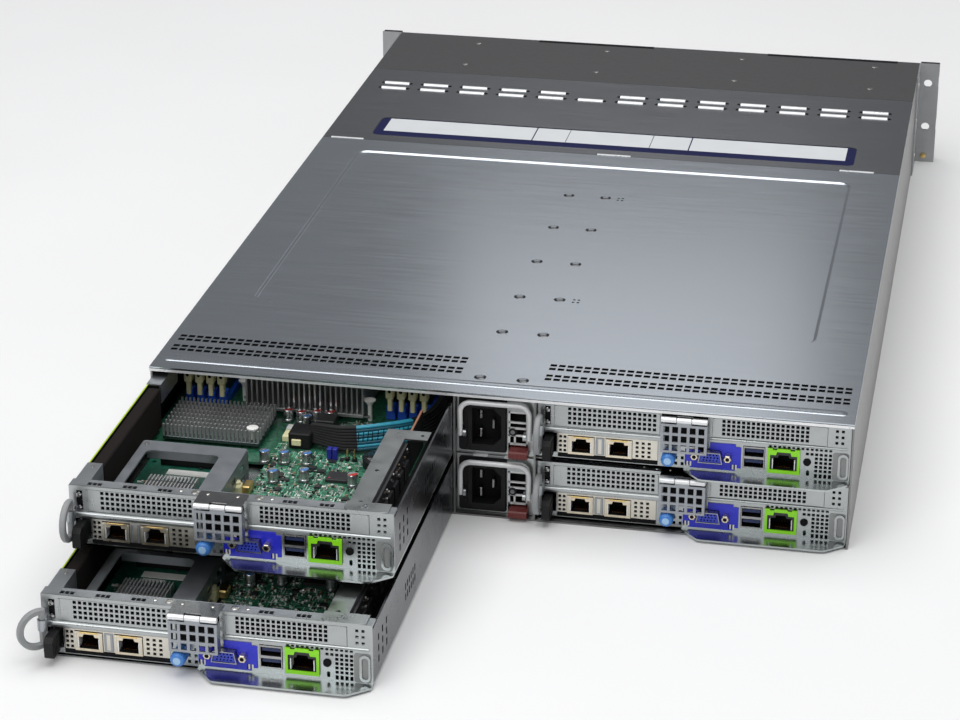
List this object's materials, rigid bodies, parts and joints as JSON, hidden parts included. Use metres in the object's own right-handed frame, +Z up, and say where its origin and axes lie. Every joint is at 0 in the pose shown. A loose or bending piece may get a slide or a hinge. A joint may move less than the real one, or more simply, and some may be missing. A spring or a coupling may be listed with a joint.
{
  "type": "2u rack server",
  "caption": "Low wide rack server with stacked slide-out server sleds on both sides of two slim power supplies, perforated rear panels, pull rings and a sheet-metal top.",
  "frame": {"origin": "on the underside of the chassis, in the middle of its width and depth", "axes": "+Z up, +Y out of the rear where the sleds pull out, +X to the left as seen from the rear"},
  "size_m": [0.4826, 0.9791, 0.0882],
  "materials": {
    "chassis_steel": "satin zinc-plated sheet",
    "cover_steel": "satin zinc-plated sheet",
    "cover_dark": "dark satin paint",
    "ear_metal": "satin paint",
    "black_plastic": "moulded, matt",
    "carrier": "moulded, matt",
    "board_green": "solder mask",
    "fan_black": "moulded, matt",
    "tray_steel": "bright zinc-plated sheet",
    "sink_aluminium": "extruded",
    "memory_dark": "moulded",
    "bracket_steel": "bright zinc-plated sheet",
    "loop_grey": "moulded, matt",
    "flap_steel": "nickel-plated sheet",
    "knob_blue": "knurled",
    "supply_grey": "plated sheet",
    "bail_grey": "light grey wire",
    "latch_red": "moulded, matt"
  },
  "bodies": {
    "chassis": {"chassis_tub": "chassis_steel", "psu_cage": "chassis_steel", "rear_cover": "cover_steel", "fan_cover": "cover_steel", "drive_bay_top": "cover_dark", "rack_ears": "ear_metal", "control_panels": "black_plastic", "drive_carriers": "carrier", "backplanes": "board_green", "fan_modules": "fan_black"},
    "sled_1": {"sled_1_tray": "tray_steel", "sled_1_board": "board_green", "sled_1_heatsinks": "sink_aluminium", "sled_1_memory": "memory_dark", "sled_1_network_card": "board_green", "sled_1_brackets": "bracket_steel"},
    "sled_1_flap_leaf": {"sled_1_air_flap": "flap_steel"},
    "sled_1_tab_lever": {"sled_1_release_tab": "black_plastic"},
    "sled_1_knob": {"sled_1_thumbscrew": "knob_blue"},
    "sled_1_push": {"sled_1_power_button": "black_plastic"},
    "sled_1_ring": {"sled_1_pull_ring": "loop_grey"},
    "sled_2": {"sled_2_tray": "tray_steel", "sled_2_board": "board_green", "sled_2_heatsinks": "sink_aluminium", "sled_2_memory": "memory_dark", "sled_2_network_card": "board_green", "sled_2_brackets": "bracket_steel"},
    "sled_2_flap_leaf": {"sled_2_air_flap": "flap_steel"},
    "sled_2_tab_lever": {"sled_2_release_tab": "black_plastic"},
    "sled_2_knob": {"sled_2_thumbscrew": "knob_blue"},
    "sled_2_push": {"sled_2_power_button": "black_plastic"},
    "sled_2_ring": {"sled_2_pull_ring": "loop_grey"},
    "sled_3": {"sled_3_tray": "tray_steel", "sled_3_board": "board_green", "sled_3_heatsinks": "sink_aluminium", "sled_3_memory": "memory_dark", "sled_3_network_card": "board_green", "sled_3_brackets": "bracket_steel"},
    "sled_3_flap_leaf": {"sled_3_air_flap": "flap_steel"},
    "sled_3_tab_lever": {"sled_3_release_tab": "black_plastic"},
    "sled_3_knob": {"sled_3_thumbscrew": "knob_blue"},
    "sled_3_push": {"sled_3_power_button": "black_plastic"},
    "sled_3_ring": {"sled_3_pull_ring": "loop_grey"},
    "sled_4": {"sled_4_tray": "tray_steel", "sled_4_board": "board_green", "sled_4_heatsinks": "sink_aluminium", "sled_4_memory": "memory_dark", "sled_4_network_card": "board_green", "sled_4_brackets": "bracket_steel"},
    "sled_4_flap_leaf": {"sled_4_air_flap": "flap_steel"},
    "sled_4_tab_lever": {"sled_4_release_tab": "black_plastic"},
    "sled_4_knob": {"sled_4_thumbscrew": "knob_blue"},
    "sled_4_push": {"sled_4_power_button": "black_plastic"},
    "sled_4_ring": {"sled_4_pull_ring": "loop_grey"},
    "supply_1": {"supply_1_case": "supply_grey"},
    "supply_1_handle": {"supply_1_bail": "bail_grey"},
    "supply_1_release": {"supply_1_latch": "latch_red"},
    "supply_2": {"supply_2_case": "supply_grey"},
    "supply_2_handle": {"supply_2_bail": "bail_grey"},
    "supply_2_release": {"supply_2_latch": "latch_red"}
  },
  "joints": [
    {"name": "sled_1_slide", "type": "slide", "parent": "chassis", "child": "sled_1", "axis": [0, 1, 0], "range_m": [-0.17, 0.332]},
    {"name": "sled_1_flap_hinge", "type": "hinge", "parent": "sled_1", "child": "sled_1_flap_leaf", "pos_m": [0.1293, 0.539, 0.0809], "axis": [1, 0, 0], "range_deg": [0, 90]},
    {"name": "sled_1_tab_pivot", "type": "hinge", "parent": "sled_1", "child": "sled_1_tab_lever", "pos_m": [0.215, 0.51, 0.0533], "axis": [0, 0, 1], "range_deg": [0, 6], "stiffness_Nm_per_rad": 0.6, "springref_deg": -5.73},
    {"name": "sled_1_thumbscrew_turn", "type": "hinge", "parent": "sled_1", "child": "sled_1_knob", "pos_m": [0.1388, 0.536, 0.0537], "axis": [0, 1, 0], "continuous": true},
    {"name": "sled_1_button_press", "type": "slide", "parent": "sled_1", "child": "sled_1_push", "axis": [0, -1, 0], "range_m": [0, 0.001], "stiffness_N_per_m": 500, "springref_m": -0.0012},
    {"name": "sled_1_ring_swing", "type": "hinge", "parent": "sled_1", "child": "sled_1_ring", "pos_m": [0.2203, 0.5365, 0.0636], "axis": [0, 0, -1], "range_deg": [0, 60]},
    {"name": "sled_2_slide", "type": "slide", "parent": "chassis", "child": "sled_2", "axis": [0, 1, 0], "range_m": [-0.227, 0.275]},
    {"name": "sled_2_flap_hinge", "type": "hinge", "parent": "sled_2", "child": "sled_2_flap_leaf", "pos_m": [0.1293, 0.596, 0.0391], "axis": [1, 0, 0], "range_deg": [0, 90]},
    {"name": "sled_2_tab_pivot", "type": "hinge", "parent": "sled_2", "child": "sled_2_tab_lever", "pos_m": [0.215, 0.567, 0.0115], "axis": [0, 0, 1], "range_deg": [0, 6], "stiffness_Nm_per_rad": 0.6, "springref_deg": -5.73},
    {"name": "sled_2_thumbscrew_turn", "type": "hinge", "parent": "sled_2", "child": "sled_2_knob", "pos_m": [0.1388, 0.593, 0.0119], "axis": [0, 1, 0], "continuous": true},
    {"name": "sled_2_button_press", "type": "slide", "parent": "sled_2", "child": "sled_2_push", "axis": [0, -1, 0], "range_m": [0, 0.001], "stiffness_N_per_m": 500, "springref_m": -0.0012},
    {"name": "sled_2_ring_swing", "type": "hinge", "parent": "sled_2", "child": "sled_2_ring", "pos_m": [0.2203, 0.5935, 0.0218], "axis": [0, 0, -1], "range_deg": [-45, 15]},
    {"name": "sled_3_slide", "type": "slide", "parent": "chassis", "child": "sled_3", "axis": [0, 1, 0], "range_m": [0, 0.502]},
    {"name": "sled_3_flap_hinge", "type": "hinge", "parent": "sled_3", "child": "sled_3_flap_leaf", "pos_m": [-0.1202, 0.369, 0.0809], "axis": [1, 0, 0], "range_deg": [0, 90]},
    {"name": "sled_3_tab_pivot", "type": "hinge", "parent": "sled_3", "child": "sled_3_tab_lever", "pos_m": [-0.0345, 0.34, 0.0533], "axis": [0, 0, 1], "range_deg": [0, 6], "stiffness_Nm_per_rad": 0.6, "springref_deg": -5.73},
    {"name": "sled_3_thumbscrew_turn", "type": "hinge", "parent": "sled_3", "child": "sled_3_knob", "pos_m": [-0.1107, 0.366, 0.0537], "axis": [0, 1, 0], "continuous": true},
    {"name": "sled_3_button_press", "type": "slide", "parent": "sled_3", "child": "sled_3_push", "axis": [0, -1, 0], "range_m": [0, 0.001], "stiffness_N_per_m": 500, "springref_m": -0.0012},
    {"name": "sled_3_ring_swing", "type": "hinge", "parent": "sled_3", "child": "sled_3_ring", "pos_m": [-0.0292, 0.3665, 0.0636], "axis": [0, 0, -1], "range_deg": [0, 60]},
    {"name": "sled_4_slide", "type": "slide", "parent": "chassis", "child": "sled_4", "axis": [0, 1, 0], "range_m": [0, 0.502]},
    {"name": "sled_4_flap_hinge", "type": "hinge", "parent": "sled_4", "child": "sled_4_flap_leaf", "pos_m": [-0.1202, 0.369, 0.0391], "axis": [1, 0, 0], "range_deg": [0, 90]},
    {"name": "sled_4_tab_pivot", "type": "hinge", "parent": "sled_4", "child": "sled_4_tab_lever", "pos_m": [-0.0345, 0.34, 0.0115], "axis": [0, 0, 1], "range_deg": [0, 6], "stiffness_Nm_per_rad": 0.6, "springref_deg": -5.73},
    {"name": "sled_4_thumbscrew_turn", "type": "hinge", "parent": "sled_4", "child": "sled_4_knob", "pos_m": [-0.1107, 0.366, 0.0119], "axis": [0, 1, 0], "continuous": true},
    {"name": "sled_4_button_press", "type": "slide", "parent": "sled_4", "child": "sled_4_push", "axis": [0, -1, 0], "range_m": [0, 0.001], "stiffness_N_per_m": 500, "springref_m": -0.0012},
    {"name": "sled_4_ring_swing", "type": "hinge", "parent": "sled_4", "child": "sled_4_ring", "pos_m": [-0.0292, 0.3665, 0.0218], "axis": [0, 0, -1], "range_deg": [0, 60]},
    {"name": "supply_1_slide", "type": "slide", "parent": "chassis", "child": "supply_1", "axis": [0, 1, 0], "range_m": [0, 0.23]},
    {"name": "supply_1_bail_swing", "type": "hinge", "parent": "supply_1", "child": "supply_1_handle", "pos_m": [0, 0.3646, 0.0577], "axis": [-1, 0, 0], "range_deg": [0, 90]},
    {"name": "supply_1_latch_press", "type": "slide", "parent": "supply_1", "child": "supply_1_release", "axis": [1, 0, 0], "range_m": [0, 0.0025], "stiffness_N_per_m": 500, "springref_m": -0.001},
    {"name": "supply_2_slide", "type": "slide", "parent": "chassis", "child": "supply_2", "axis": [0, 1, 0], "range_m": [0, 0.23]},
    {"name": "supply_2_bail_swing", "type": "hinge", "parent": "supply_2", "child": "supply_2_handle", "pos_m": [0, 0.3646, 0.0159], "axis": [-1, 0, 0], "range_deg": [0, 90]},
    {"name": "supply_2_latch_press", "type": "slide", "parent": "supply_2", "child": "supply_2_release", "axis": [1, 0, 0], "range_m": [0, 0.0025], "stiffness_N_per_m": 500, "springref_m": -0.001}
  ]
}
